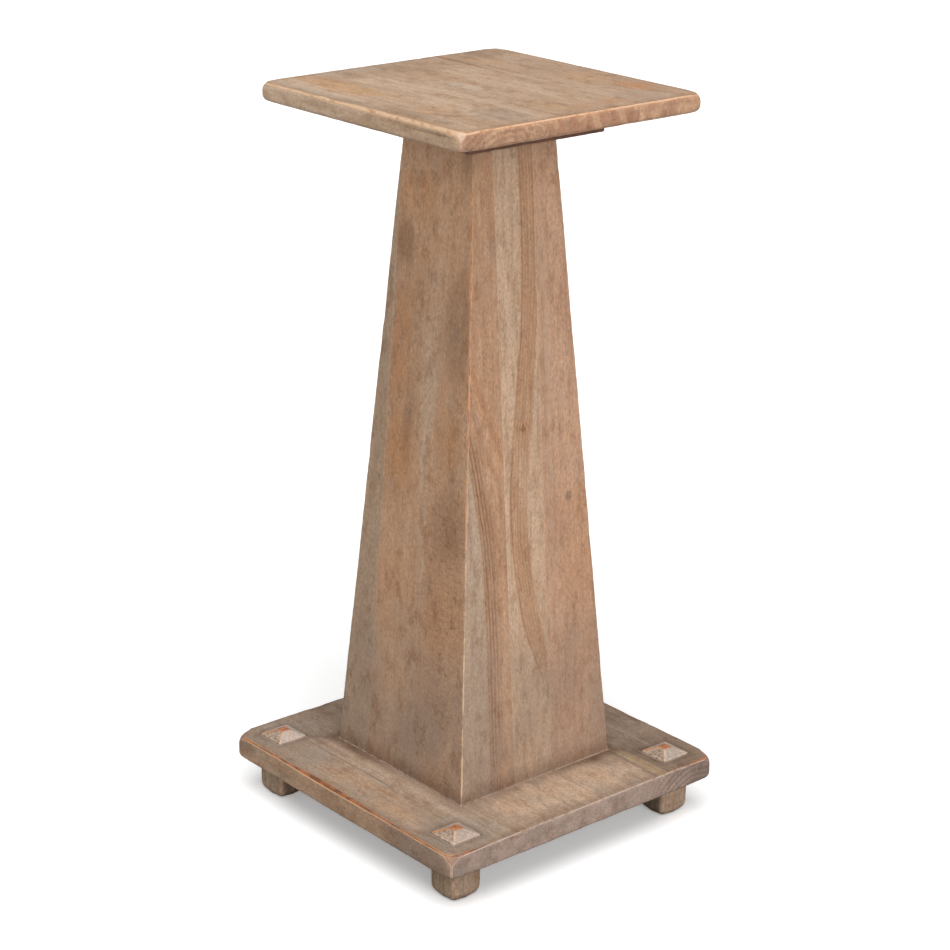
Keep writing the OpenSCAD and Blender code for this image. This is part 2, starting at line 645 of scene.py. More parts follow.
# The notch on the left edge, three pits on the face and a knock on the front edge, all in mm.
TOP_DENTS = (
    ((-152.5, 45, 762), 4, 2.2),
    ((3, 26, 762), 2, 0.5),
    ((39, -69, 762), 2.5, 0.5),
    ((100, -4, 762), 2.5, 0.4),
    ((-17.5, -152.5, 751), 5, 0.4),
)


def seam_cuts(seams):
    """Three cuts for each seam, so that its groove has a bottom and two lips."""
    return [seam + step * 0.8 * MM for seam in seams for step in (-1, 0, 1)]


def build_top():
    low, high = np.array(top_low), np.array(top_high)
    xs = cuts(low[0], high[0], edge=8 * MM, middle=2.8 * MM, steps=10)
    ys = cuts(low[1], high[1], edge=8 * MM, middle=2.8 * MM, steps=10, extra=seam_cuts(TOP_SEAMS))
    zs = cuts(low[2], high[2], edge=5 * MM, middle=1.5 * MM, steps=7)
    points, quads = grid_box(xs, ys, zs)
    points = eased(points, low, high, TOP_RADII, knocked=(4.5 * MM, 3 * MM))
    piece = make_mesh("top_slab_worn", points, quads)
    push = hand_worn(points, low, high, GRAIN_X, seed=11)
    push += groove(points[:, 1], TOP_SEAMS, width=0.8 * MM, depth=0.18 * MM)
    for centre, radius, depth in TOP_DENTS:
        push += dent(points, np.array(centre) * MM, radius * MM, depth * MM)
    push_in(piece, push)
    return piece


top_slab = build_top()

# %% [markdown]
# ## Patches on the top
#
# No noise puts a warm patch in the right corner. Where a mark is large enough to be remembered, it
# is listed: a soft oval with a ragged outline, given by its middle and its two half widths.
# The end faces take a warmer stain because end grain drinks it, so they have a tone of their own.

# %% Mark the faces of the top


def top_patches(colour, x, y, layers):
    """Where the finish of the upper face runs warm, dark or grey, placed by hand."""
    warm = paint(212, 168, 126)
    dull = paint(176, 144, 116)
    grey = paint(184, 168, 152)
    return hand_patches(colour, x, y, (
        ((-122, 30), (34, 120), dull, 0.55),
        ((0, 118), (150, 26), dull, 0.45),
        ((10, -20), (60, 16), dull, 0.25),
        ((-75, -108), (75, 17), warm, 0.75),
        ((-100, 88), (34, 12), warm, 0.40),
        ((30, 112), (34, 20), warm, 0.45),
        ((88, 122), (32, 16), paint(200, 146, 104), 0.85),
        ((130, 60), (14, 60), paint(198, 146, 106), 0.55),
        ((-10, -10), (26, 8), paint(216, 196, 176), 0.55),
        ((-62, 74), (60, 2), paint(150, 116, 90), 0.60),
        ((60, -105), (14, 34), warm, 0.35),
        ((112, -10), (26, 10), warm, 0.45),
        ((-115, 66), (60, 5), paint(160, 118, 86), 0.70),
        ((-15, 58), (55, 3), dull, 0.50),
        ((-128, 112), (22, 34), paint(158, 130, 106), 0.60),
        ((-130, -62), (30, 7), dull, 0.60),
        ((-20, -78), (55, 7), dull, 0.40),
        ((110, 6), (12, 4), paint(158, 118, 88), 0.50),
        ((128, 92), (26, 30), grey, 0.40),
        ((112, -70), (34, 26), paint(170, 150, 134), 0.55),
        ((60, -132), (60, 10), paint(160, 136, 116), 0.45),
        ((-50, -141), (110, 8), grey, 0.45),
        ((-138, -30), (12, 60), grey, 0.50),
    ), layers["wash"])


def top_ends(y, z, number, layers):
    """The end grain at the left and right: warm stain, growth arcs and slanting dark flecks."""
    tone = mix(rise(layers["wash"], 0.38, 0.62), paint(208, 166, 132), paint(178, 134, 108))
    arcs = rings(y + number * 0.05, z, (-95 * MM, 700 * MM), layers["mottle"], 6 * MM)
    tone = mix(arcs * rise(y, -20 * MM, -60 * MM) * 0.45, tone, paint(140, 102, 84))
    slant = y + z * 0.5 + (layers["wash"] - 0.5) * 0.03
    stripes = rise((slant * (2 * math.pi / (17 * MM))).math("SINE"), -0.2, 0.8)
    stripes = stripes * rise(y, -60 * MM, -40 * MM) * rise(y, 75 * MM, 60 * MM)
    tone = mix(stripes * 0.50, tone, paint(168, 112, 84))
    return open_pores(tone, layers, strength=0.35)


print("seams of the top in mm:", [round(seam / MM, 1) for seam in TOP_SEAMS])

# %% [markdown]
# ## The wood of the top
#
# The colour is built in the order a finisher would work: the bare tone of each board, its rings and
# streaks, the pores, the grey wash that settled in the hollows, and last the wear. Masks from the
# surface normal tell the ends and the sides from the upper face.

# %% Make the top wood


def top_face(x, y, z, number, layers):
    """The upper face: the tone of each board, growth rings, patches, the swirl, streaks and wash."""
    colour = mix(rise(layers["clouds"], 0.35, 0.65), paint(214, 184, 156), paint(196, 162, 130))
    colour = mix(rise(number, 0.5, 1.5) * 0.5, colour, paint(200, 168, 142))
    pith = (-20 * MM, 690 * MM)
    figure = rings(y + number * 0.07, z, pith, layers["clouds"], 9 * MM)
    colour = mix(figure * 0.15, colour, paint(168, 134, 106))
    colour = top_patches(colour, x, y, layers)

    to_knot = (x - TOP_KNOT[0]) * 0.75
    beside = y - TOP_KNOT[1]
    away = (to_knot * to_knot + beside * beside).math("SQRT")
    swirl = (away * (2 * math.pi / KNOT_RING) + layers["clouds"] * 8.0).math("SINE")
    swirl = rise(swirl, -0.2, 0.9) * near(away, 32 * MM, 20 * MM) * rise(x, 30 * MM, 70 * MM)
    colour = mix(swirl * 0.40, colour, paint(166, 126, 94))

    colour = mix(rise(layers["streaks"], 0.50, 0.66) * 0.28, colour, paint(170, 136, 108))
    colour = mix(rise(layers["streaks"], 0.44, 0.32) * 0.24, colour, paint(214, 186, 160))
    colour = open_pores(colour, layers, strength=0.22)
    return mix(rise(layers["wash"], 0.54, 0.72) * 0.30, colour, paint(176, 160, 146))


def top_sides(place, x, layers):
    """The grimier tone of the front and back edges, with short cracks toward the right."""
    drawn_out = noise(stretched(place, (0.2, 1.0, 1.0)), 0.012, 3.0, 0.6)
    grimy = mix(rise(drawn_out, 0.40, 0.62), paint(204, 176, 150), paint(184, 154, 126))
    cracks = rise(layers["streaks"], 0.57, 0.64) * rise(x, 20 * MM, 50 * MM)
    return mix(cracks * 0.6, grimy, paint(116, 94, 78))


def top_arrises(colour, place, z, upper):
    """The rubbed edges: a broad honey line along the front, a redder one along the ends."""
    in_x, in_y = box_distances(place, top_low, top_high)[:2]
    plan = rounded_inset(in_x, in_y, 13 * MM)
    from_top = top_high.z - z
    ragged = noise(stretched(place, (0.5, 0.5, 1.0)), 0.006, 3.0, 0.6)
    drift = noise(place, 0.045, 1.0)
    flicker = rise(noise(place, 0.007, 2.0), 0.30, 0.50)
    colour = tint(rise(plan, 16 * MM, 4 * MM) * upper * 0.40, colour, paint(188, 170, 154))
    over = from_top - plan + (ragged - 0.5) * (1.8 * MM)
    end_side = rise(in_y - in_x, 0.0, 6 * MM)
    front_tones = (paint(222, 184, 146), mix(flicker, paint(206, 158, 114), BARE), paint(204, 168, 134))
    end_tones = (paint(164, 112, 82), mix(flicker, paint(214, 160, 120), BARE), paint(206, 150, 112))
    width = (rise(drift, 0.42, 0.62) * 0.9 + 0.6) * (2.6 * MM)
    along_x = striped(colour, over, width, front_tones, flicker * 0.35 + 0.50)
    along_y = striped(colour, over, 2.2 * MM, end_tones, flicker * 0.35 + 0.50)
    colour = mix(end_side, along_x, along_y)
    under = (z - top_low.z) - plan
    below = near(under, 0.4 * MM, 1.3 * MM) * rise(drift, 0.40, 0.52)
    colour = mix(below * 0.7, colour, paint(176, 112, 70))
    corner_tones = (paint(218, 190, 170), paint(212, 152, 112))
    return corner_wear(colour, in_x, in_y, from_top, ragged, 7 * MM, corner_tones, 0.75)


def top_wood():
    material, place, normal = start_material("top_wood")
    x, y, z = axes(place)
    number = strip_number(y, TOP_SEAMS)
    layers = grain(shifted(place, number), GRAIN_X)
    ends = rise(axes(normal)[0].math("ABSOLUTE"), 0.55, 0.85)
    upper = rise(axes(normal)[2], 0.3, 0.8)

    colour = top_face(x, y, z, number, layers)
    colour = mix(ends * 0.92, colour, top_ends(y, z, number, layers))
    long_sides = (1.0 - upper) * (1.0 - ends)
    colour = mix(long_sides * 0.85, colour, top_sides(place, x, layers))
    colour = weathered(colour, layers, blotches=0.52, grit=0.8)
    colour = top_arrises(colour, place, z, upper)
    relief = planed_relief(layers, fibres=0.3, pores=0.4, grit=0.35)
    return finish(place, colour, relief, 0.42 + layers["wash"] * 0.3, material)


settle(top_slab, "top_slab", top_wood())

# %% [markdown]
# ## The plate under the top
#
# A smaller square plate joins the top to the column. It sits in shadow and kept more of its old
# reddish stain than the rest. A plain eased slab is enough.

# %% Build the under plate
plate_low, plate_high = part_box("under_plate")


def build_slab(name, low, high, spacing, radii, along, seed):
    """A worn slab with no features of its own."""
    low, high = np.array(low), np.array(high)
    edges = np.minimum(max(radii) * 1.5, (high - low) / 3)
    places = [cuts(low[i], high[i], edges[i], spacing, steps=7) for i in range(3)]
    points, quads = grid_box(*places)
    points = eased(points, low, high, radii)
    piece = make_mesh(name, points, quads)
    push_in(piece, hand_worn(points, low, high, along, seed))
    return piece


def plate_wood():
    material, place = start_material("plate_wood")[:2]
    layers = grain(place, GRAIN_X)
    colour = mix(layers["clouds"], paint(132, 92, 72), paint(104, 74, 60))
    colour = mix(rise(layers["streaks"], 0.45, 0.65) * 0.5, colour, paint(84, 58, 46))
    colour = open_pores(colour, layers, strength=0.3)
    edge = middle_of(*box_distances(place, plate_low, plate_high))
    colour = worn(colour, edge, noise(place, 0.03), noise(place, 0.03), 1.4 * MM, 0.3, 0.2)
    relief = layers["streaks"] + layers["fibres"]
    return finish(place, colour, relief, 0.5 + layers["wash"] * 0.25, material)


under_plate = build_slab(
    "under_plate_worn", plate_low, plate_high, 4 * MM, (2 * MM, 2 * MM, 3 * MM), GRAIN_X, 21
)
settle(under_plate, "under_plate", plate_wood())

# %% [markdown]
# ## The tapering column
#
# Four boards are mitred together into a hollow square that narrows upwards. A grid box can't follow
# a mitre, so each board is skinned from sections instead. First come the measures: the column is
# read from the frame, and its half width at any height follows from a straight line.

# %% Measure the column
column_low, column_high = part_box("column_board_front")
FOOT_HALF = -column_low.y
WALL = 19 * MM
TOP_HALF = WALL - column_high.y
ARRIS_R = 1.5 * MM
BEAD = 0.9 * MM
COLUMN_SEAMS = {
    "front": (-52 * MM,),
    "right": (-29 * MM, 21 * MM),
    "back": (-38 * MM, 30 * MM),
    "left": (14 * MM,),
}
TURNS = {"front": 0, "right": 90, "back": 180, "left": 270}
print("column half width at the foot:", round(FOOT_HALF, 4))


def half_at(height):
    """Half the column's width at a height; it works on numbers and on wires."""
    lean = (FOOT_HALF - TOP_HALF) / (column_high.z - column_low.z)
    return FOOT_HALF - (height - column_low.z) * lean


print("column half width halfway up:", round(half_at((column_low.z + column_high.z) / 2), 4))

# %% [markdown]
# ## One section of a board
#
# At every height a section has an outer line with its two arrises rounded, and an inner line one
# board thickness behind it. A little filler was pressed into the joint at the foot, which shows as
# a pale bead, so the outer line flares there. The glued seams stay upright while the board narrows,
# so the outer line is cut at the seams first and evenly between them.

# %% Cut one section


def flat_places(half, seams):
    """Where a section's flat face is cut. The seams stay straight while the board narrows."""
    def stops(reach):
        found = [-reach]
        for seam in seams:
            middle = min(max(seam, 2 * MM - reach), reach - 2 * MM)
            found += [middle - 0.8 * MM, middle, middle + 0.8 * MM]
        return [*found, reach]

    here = stops(half - ARRIS_R)
    at_foot = stops(FOOT_HALF - ARRIS_R)
    places = [here[:1]]
    for index in range(len(here) - 1):
        count = max(1, round((at_foot[index + 1] - at_foot[index]) / (3 * MM)))
        places.append(np.linspace(here[index], here[index + 1], count + 1)[1:])
    return np.concatenate(places)


def board_section(height, seams):
    """Outer points, inner points and outward directions of one section, facing the front."""
    half = half_at(height)
    up = min((height - column_low.z) / BEAD, 1)
    half_out = half + BEAD * (1 - math.sqrt(1 - (1 - up) ** 2))
    flat = flat_places(half, seams) * (half_out - ARRIS_R) / (half - ARRIS_R)
    turn = np.radians(np.linspace(0, 45, 7)[1:])
    angle = np.concatenate([-turn[::-1], np.zeros(len(flat)), turn])
    across = np.concatenate([np.full(6, flat[0]), flat, np.full(6, flat[-1])])
    towards = np.stack([np.sin(angle), -np.cos(angle)], 1)
    core = np.stack([across, np.full(len(across), ARRIS_R - half_out)], 1)
    outer = core + ARRIS_R * towards
    inner = outer * (half - WALL) / np.abs(outer).max()
    inner[:, 1] = WALL - half
    return outer, inner, towards


foot_section = board_section(column_low.z, COLUMN_SEAMS["front"])
print("points across the foot of the front board:", len(foot_section[0]))

# %% [markdown]
# ## Wear and caps for a board
#
# A board wears as the slabs do, with its grain upright, and the near arris took two knocks below
# the top. The sections are then joined into a closed skin: walls from each section to the next, and
# a cap at the foot and at the top.

# %% Push a board in and close its skin
BOARD_ROWS = 132
# Two knocks on the near arris, in mm: how far below the column's top, how wide and how deep.
BOARD_KNOCKS = ((25, 5, 2.4), (205, 4.5, 1.3))


def board_push(skin, across, seams):
    """How far the outer skin is pushed in: waves, raised grain, nibbled arrises, seams, knocks."""
    arris = half_at(skin[:, 2]) - np.abs(skin[:, :2]).min(axis=1)
    nearness = np.clip(1 - arris / (5 * MM), 0, 1)
    push = lump(skin, 90 * MM, 31) * 0.5 * MM
    push += lump(skin, (4 * MM, 4 * MM, 60 * MM), 32) * 0.16 * MM
    push += nearness * lump(skin, 16 * MM, 33) ** 3 * 0.7 * MM
    push += nearness * np.clip(lump(skin, 6 * MM, 34) - 0.6, 0, 1) * 1.0 * MM
    push += groove(across, seams, width=0.8 * MM, depth=0.15 * MM)
    for below, size, depth in BOARD_KNOCKS:
        height = column_high.z - below * MM
        half = half_at(height)
        push += dent(skin, (half, -half, height), size * MM, depth * MM)
    return push


def closed_skin(outer, inner):
    """Points and quads of a closed skin over rows of outer and inner points."""
    ring = np.concatenate([outer, inner[:, ::-1]], axis=1)
    number = np.arange(ring.shape[0] * ring.shape[1]).reshape(ring.shape[:2])
    after = np.roll(number, -1, axis=1)
    walls = np.stack([number[:-1], after[:-1], after[1:], number[1:]], -1).reshape(-1, 4)
    count = outer.shape[1]
    front = number[:, :count]
    back = number[:, count:][:, ::-1]
    caps = np.stack([front[:, :-1], front[:, 1:], back[:, 1:], back[:, :-1]], -1)
    return ring.reshape(-1, 3), np.concatenate([walls, caps[-1], caps[0][:, ::-1]])


print("knocks on the near arris:", len(BOARD_KNOCKS))

# %% [markdown]
# ## Skin the boards
#
# One function builds a board from its side of the column. Its sections are cut from the foot up,
# with a few close together where the bead flares, and turned to that side.

# %% Build the four boards


def build_board(side):
    """One mitred board as a skin over its sections, from the foot up."""
    seams = COLUMN_SEAMS[side]
    low, high = column_low.z, column_high.z
    in_bead = np.linspace(low, low + BEAD, 6, endpoint=False)
    heights = np.concatenate([in_bead, np.linspace(low + BEAD, high, BOARD_ROWS)])
    sections = [board_section(height, seams) for height in heights]
    count = len(sections[0][0])
    turn = np.array(Matrix.Rotation(math.radians(TURNS[side]), 2))

    def lifted(index):
        rows = []
        for section, height in zip(sections, heights):
            flat = section[index] @ turn.T
            rows.append(np.column_stack([flat, np.full(count, height if index < 2 else 0.0)]))
        return np.array(rows)

    outer, inner, towards = lifted(0), lifted(1), lifted(2)
    skin = outer.reshape(-1, 3)
    across = np.array([section[0][:, 0] for section in sections]).ravel()
    push = board_push(skin, across, seams)
    outer = (skin - towards.reshape(-1, 3) * push[:, None]).reshape(outer.shape)
    points, quads = closed_skin(outer, inner)
    return make_mesh("column_board_" + side + "_worn", points, quads)


boards = {side: build_board(side) for side in TURNS}
print("boards built:", list(boards))

# %% [markdown]
# ## The wood of the column
#
# The grain of the column runs upright. Each board is glued up from strips, which the wash did not
# quite even out, so every strip has its own tone. The right board has the liveliest figure: a brown
# band of heartwood that wanders down its middle strip, and arched lines that start at the near
# arris and then run straight to the foot. Both follow drawn curves of height against width.

# %% Figure on the right board
GRAIN_Z = (False, False, True)


def heart_band(across, z, layers):
    """The brown band that wanders down the middle strip, and the streaks inside it."""
    wobble = (layers["clouds"] - 0.5) * 0.008
    left = curve(z, 150 * MM, 721 * MM, (
        (150 * MM, 18 * MM), (183 * MM, 6 * MM), (262 * MM, -17 * MM), (342 * MM, -24 * MM),
        (400 * MM, -21 * MM), (472 * MM, -11 * MM), (571 * MM, 0.0), (721 * MM, 1 * MM),
    ), 40 * MM)
    right = curve(z, 150 * MM, 721 * MM, (
        (150 * MM, 22 * MM), (183 * MM, 20 * MM), (262 * MM, 8 * MM), (342 * MM, 1 * MM),
        (400 * MM, 5 * MM), (472 * MM, 14 * MM), (571 * MM, 21 * MM), (721 * MM, 22 * MM),
    ), 40 * MM)
    inside = across - left + wobble
    band = rise(inside, -1 * MM, 1.5 * MM) * rise(right - across + wobble, -1.5 * MM, 3 * MM)
    band = band * rise(z, 155 * MM, 185 * MM) * rise(across, 21.2 * MM, 20.8 * MM)
    lip = near(inside, 1.5 * MM, 2.5 * MM)
    lines = rise((inside * (2 * math.pi / (3.8 * MM)) + layers["streaks"] * 8.0).math("SINE"), -0.4, 0.9)
    return band, band * (lip * 0.5 + lines * 0.6)


def arched_lines(across, z, layers):
    """The grey edge, the bunch of dark lines beside it, and the slanting arches above them."""
    wobble = (layers["clouds"] - 0.5) * 0.007
    path = curve(z, 65 * MM, 460 * MM, (
        (65 * MM, -61 * MM), (150 * MM, -59.5 * MM), (250 * MM, -58.5 * MM), (320 * MM, -60 * MM),
        (367 * MM, -66 * MM), (405 * MM, -72 * MM), (460 * MM, -82 * MM),
    ), 100 * MM)
    beside = across - path + wobble
    strip = rise(across, -28.8 * MM, -29.2 * MM) * rise(z, 470 * MM, 420 * MM)
    lines = rise((beside * (2 * math.pi / (4.4 * MM)) + layers["streaks"] * 5.0).math("SINE"), -0.2, 0.9)
    bunch = (lines * 0.65 + 0.35) * rise(beside, -1.5 * MM, 0.5 * MM)
    bunch = bunch * rise(beside, 24 * MM, 5 * MM) * strip
    pale = rise(beside, 0.5 * MM, -1.5 * MM) * strip
    slant = (across + 66 * MM) - (521 * MM - z) * 0.325 + wobble * 3.0
    arches = rise((slant * (2 * math.pi / (17 * MM)) + layers["clouds"] * 4.0).math("SINE"), -0.5, 0.9)
    arches = arches * rise(slant, 9 * MM, -4 * MM) * rise(beside, -1 * MM, 6 * MM)
    arches = arches * rise(z, 270 * MM, 380 * MM) * rise(across, -28.8 * MM, -29.2 * MM)
    warm = near(slant, -3 * MM, 12 * MM) * rise(across, -28.8 * MM, -29.2 * MM)
    return pale, bunch, arches, warm


# %% [markdown]
# ## Soft figure on the front board
#
# The front board is calmer: a greyer strip at its left, and a pale wedge that points down from its
# middle. The two boards that face away get the same wood without these marks.

# %% Make the column wood
STRIP_TONES = {
    "front": (paint(180, 155, 130), paint(194, 155, 122)),
    "right": (paint(197, 156, 124), paint(204, 172, 144), paint(200, 159, 130)),
    "back": (paint(190, 152, 122), paint(194, 162, 134), paint(188, 150, 122)),
    "left": (paint(194, 160, 132), paint(188, 152, 124)),
}


def right_figure(colour, across, z, layers):
    band, streaks = heart_band(across, z, layers)
    uneven = rise(layers["clouds"], 0.30, 0.60) * 0.35 + 0.60
    colour = mix(band * uneven, colour, paint(188, 145, 111))
    colour = mix(streaks * uneven * 0.64, colour, paint(148, 106, 76))
    pale, bunch, arches, warm = arched_lines(across, z, layers)
    colour = mix(pale * 0.70, colour, paint(180, 160, 140))
    colour = mix(warm * 0.50, colour, paint(196, 142, 104))
    colour = mix(arches * 0.38, colour, paint(158, 114, 84))
    colour = mix(bunch * 0.80, colour, paint(128, 94, 70))
    speckled = near(across, 30 * MM, 11 * MM) * rise(z, 240 * MM, 330 * MM) * rise(z, 720 * MM, 560 * MM)
    colour = mix(speckled * rise(layers["grit"], 0.45, 0.62) * 0.55, colour, paint(164, 146, 132))
    below = patch(across, z, (66 * MM, 300 * MM), (26 * MM, 90 * MM), layers["wash"])
    colour = mix(below * 0.45, colour, paint(192, 144, 108))
    mark = patch(across, z, (55 * MM, 354 * MM), (4 * MM, 5 * MM), layers["grit"])
    colour = mix(mark * 0.6, colour, paint(132, 112, 98))
    knot = patch(across, z, (-2 * MM, 436 * MM), (3 * MM, 4 * MM), layers["grit"])
    return mix(knot * 0.7, colour, paint(140, 84, 58))


def front_figure(colour, across, z, layers):
    wedge_middle = 12 * MM + (layers["clouds"] - 0.5) * 0.02
    wide = rise(z, 340 * MM, 560 * MM) * (14 * MM) + 2 * MM
    wedge = rise((across - wedge_middle).math("ABSOLUTE") - wide, 3 * MM, -2 * MM)
    wedge = wedge * rise(z, 350 * MM, 375 * MM) * rise(z, 620 * MM, 450 * MM)
    colour = mix(wedge * 0.45, colour, paint(196, 172, 150))
    trail = near(across, 14 * MM, 8 * MM) * rise(z, 380 * MM, 340 * MM)
    colour = mix(trail * 0.3, colour, paint(196, 172, 150))
    orange = paint(190, 136, 90)
    dark = paint(140, 104, 76)
    colour = hand_patches(colour, across, z, (
        ((-38, 610), (14, 26), dark, 0.60),
        ((-20, 660), (30, 30), orange, 0.35),
        ((-36, 505), (16, 60), orange, 0.55),
        ((-30, 400), (22, 50), orange, 0.60),
        ((-18, 440), (10, 50), dark, 0.35),
        ((48, 545), (22, 60), dark, 0.45),
        ((44, 430), (20, 36), orange, 0.45),
        ((52, 345), (30, 40), dark, 0.40),
        ((-30, 250), (30, 50), orange, 0.25),
        ((60, 240), (36, 44), orange, 0.35),
        ((64, 150), (24, 26), dark, 0.25),
        ((10, 110), (60, 40), paint(168, 148, 130), 0.40),
    ), layers["mottle"])
    flecks = noise(stretched(layers["place"], (0.30, 1.0, 1.0)), 0.0026, 2.0, 0.6)
    flecks = rise(flecks, 0.52, 0.66) * rise(across, -30 * MM, 60 * MM) * rise(z, 520 * MM, 300 * MM)
    return mix(flecks * 0.40, colour, paint(120, 94, 74))


def column_face(side, across, z, layers):
    """The strips of one board in their own tones, its figure, streaks, pores, wash and seams."""
    seams = COLUMN_SEAMS[side]
    tones = STRIP_TONES[side]
    colour = mix(across.math("GREATER_THAN", seams[0]), tones[0], tones[1])
    for seam, tone in zip(seams[1:], tones[2:]):
        colour = mix(across.math("GREATER_THAN", seam), colour, tone)
    colour = tint(rise(layers["clouds"], 0.35, 0.72) * 0.5, colour, paint(226, 214, 204))
    if side == "right":
        colour = right_figure(colour, across, z, layers)
    if side == "front":
        colour = front_figure(colour, across, z, layers)
    calm = 0.6 if side == "front" else 1.0
    colour = mix(rise(layers["streaks"], 0.47, 0.68) * (0.36 * calm), colour, paint(154, 116, 88))
    colour = mix(rise(layers["streaks"], 0.44, 0.30) * (0.30 * calm), colour, paint(212, 182, 154))
    colour = open_pores(colour, layers, strength=0.30)
    colour = mix(rise(layers["wash"], 0.52, 0.72) * 0.32, colour, paint(172, 152, 136))
    for seam in seams:
        colour = mix(near(across, seam, 0.9 * MM) * 0.35, colour, paint(214, 186, 158))
    return colour


def column_dust_and_painted_light(colour, side, place, across, z, layers):
    """Dust that rises from the foot, grime and painted shade at both joints, painted light on the upper
    column, and painted shade at the head of the front.
    """
    dusty = noise(stretched(place, (1.0, 1.0, 0.6)), 0.04, 3.0)
    foot = rise(z, 300 * MM, 90 * MM) * (rise(dusty, 0.30, 0.62) * 0.5 + 0.5)
    colour = mix(foot * 0.70, colour, paint(146, 126, 110))
    # Grime and painted shade at the foot joint and just under the plate.
    colour = tint(rise(z, 88 * MM, 66 * MM) * 0.45, colour, GRIME_AND_SHADE)
    colour = tint(rise(z, 708 * MM, 722 * MM) * 0.55, colour, GRIME_AND_SHADE)
    # Painted light: the upper part of every board is lightened.
    colour = shade(colour, rise(z, 520 * MM, 700 * MM) * 0.12 + 1.0)
    if side == "front":
        # On the front board: painted light on its upper part, and a painted shadow near the arris just
        # under the plate.
        shaded = patch(across, z, (56 * MM, 722 * MM), (24 * MM, 50 * MM), layers["clouds"])
        colour = shade(colour, 0.98 + rise(z, 500 * MM, 680 * MM) * 0.20 - shaded * 0.32)
    return colour


def column_arrises(colour, place, x, y, z, ragged, layers):
    """The worn arrises, a chip near the head of the near one, and the bead of filler at the foot."""
    edge = half_at(z) - x.math("ABSOLUTE").math("MINIMUM", y.math("ABSOLUTE"))
    rusty = noise(place, 0.015, 2.0)
    high_up = rise(z, 260 * MM, 420 * MM)
    colour = worn(colour, edge, ragged, rusty, high_up * (0.7 * MM) + 1.5 * MM, 0.75, high_up * 0.75 + 0.05)
    sliver = (1.3 * MM, 7 * MM)
    chip = patch(edge, z, (0.2 * MM, 697 * MM), sliver, layers["grit"]) * rise(x - y, 0.0, 90 * MM)
    colour = mix(chip * 0.8, colour, paint(92, 64, 48))
    bead = rise(z, column_low.z + BEAD * 1.10, column_low.z + BEAD * 0.85)
    return mix(bead * rise(ragged, 0.30, 0.60) * 0.45, colour, paint(190, 172, 156))


def column_wood(side):
    material, place = start_material("column_wood_" + side)[:2]
    turn = math.radians(TURNS[side])
    facing = {0: place, 1: (math.cos(turn), math.sin(turn), 0.0)}
    across = place.node("VectorMath", {"operation": "DOT_PRODUCT"}, facing, out="Value")
    x, y, z = axes(place)
    number = strip_number(across, COLUMN_SEAMS[side])
    layers = grain(shifted(place, number + TURNS[side] / 90), GRAIN_Z)
    layers["place"] = place

    colour = column_face(side, across, z, layers)
    colour = column_dust_and_painted_light(colour, side, place, across, z, layers)
    colour = weathered(colour, layers, blotches=0.60 if side == "front" else 0.45, grit=0.85)
    ragged = noise(stretched(place, (1.0, 1.0, 0.5)), 0.008, 3.0, 0.65)
    colour = column_arrises(colour, place, x, y, z, ragged, layers)
    relief = planed_relief(layers, fibres=0.4, pores=0.6, grit=0.4)
    return finish(place, colour, relief, 0.46 + layers["wash"] * 0.28, material)


for side, board in boards.items():
    settle(board, "column_board_" + side, column_wood(side))

# %% [markdown]
# ## The base slab
#
# The base is the piece that gets kicked, so it is greyer and its front arris is worn through to an
# orange coat. Four shallow pockets hold the studs. The grid gets extra cuts at the pockets' walls,
# so that they drop straight down, and a soft trough is pushed in on the back and left of each pocket.

# %% Build the base slab
base_low, base_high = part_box("base_slab")
BASE_SEAMS = (-54 * MM, 110 * MM)
stud_low, stud_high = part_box("stud_front_right")
STUD_HALF = (stud_high.x - stud_low.x) / 2
STUD_CENTRE = (stud_high.x + stud_low.x) / 2
POCKET_GAP = 0.1 * MM
BASE_RADII = (3.5 * MM, 4 * MM, 11.5 * MM)
CORNERS = {
    "front_left": (-1, -1),
    "front_right": (1, -1),
    "back_left": (-1, 1),
    "back_right": (1, 1),
}


def pocket_cuts():
    """Two cuts at each pocket wall, its lip and its foot, on both sides of the middle."""
    reach = STUD_HALF + POCKET_GAP
    walls = [STUD_CENTRE + side * (reach + step) for side in (-1, 1) for step in (-0.05 * MM, 0.2 * MM)]
    return [*walls, *[-wall for wall in walls]]


def stud_offset(points):
    """How far each point lies outside the square of the nearest stud."""
    away = np.abs(np.abs(points[:, :2]) - STUD_CENTRE)
    return away.max(axis=1) - STUD_HALF


def build_base():
    low, high = np.array(base_low), np.array(base_high)
    across = [*pocket_cuts(), *seam_cuts(BASE_SEAMS)]
    xs = cuts(low[0], high[0], edge=8 * MM, middle=3 * MM, steps=10, extra=pocket_cuts())
    ys = cuts(low[1], high[1], edge=8 * MM, middle=3 * MM, steps=10, extra=across)
    zs = cuts(low[2], high[2], edge=5 * MM, middle=1.8 * MM, steps=7)
    points, quads = grid_box(xs, ys, zs)
    on_top = points[:, 2] > high[2] - 1e-6
    outside = stud_offset(points)
    points = eased(points, low, high, BASE_RADII, knocked=(8.5 * MM, 2 * MM))
    in_pocket = on_top & (outside < POCKET_GAP)
    points[in_pocket, 2] = stud_low.z
    piece = make_mesh("base_slab_worn", points, quads)
    push = hand_worn(points, low, high, GRAIN_X, seed=41)
    push += groove(points[:, 1], BASE_SEAMS, width=0.8 * MM, depth=0.16 * MM)
    from_stud = np.sign(points[:, :2]) * (np.abs(points[:, :2]) - STUD_CENTRE)
    behind = (from_stud[:, 1] > STUD_HALF) | (from_stud[:, 0] < -STUD_HALF)
    push += on_top * behind * np.clip(1 - outside / (6 * MM), 0, 1) * 0.6 * MM
    push[in_pocket] = 0
    push_in(piece, push)
    return piece


base_slab = build_base()

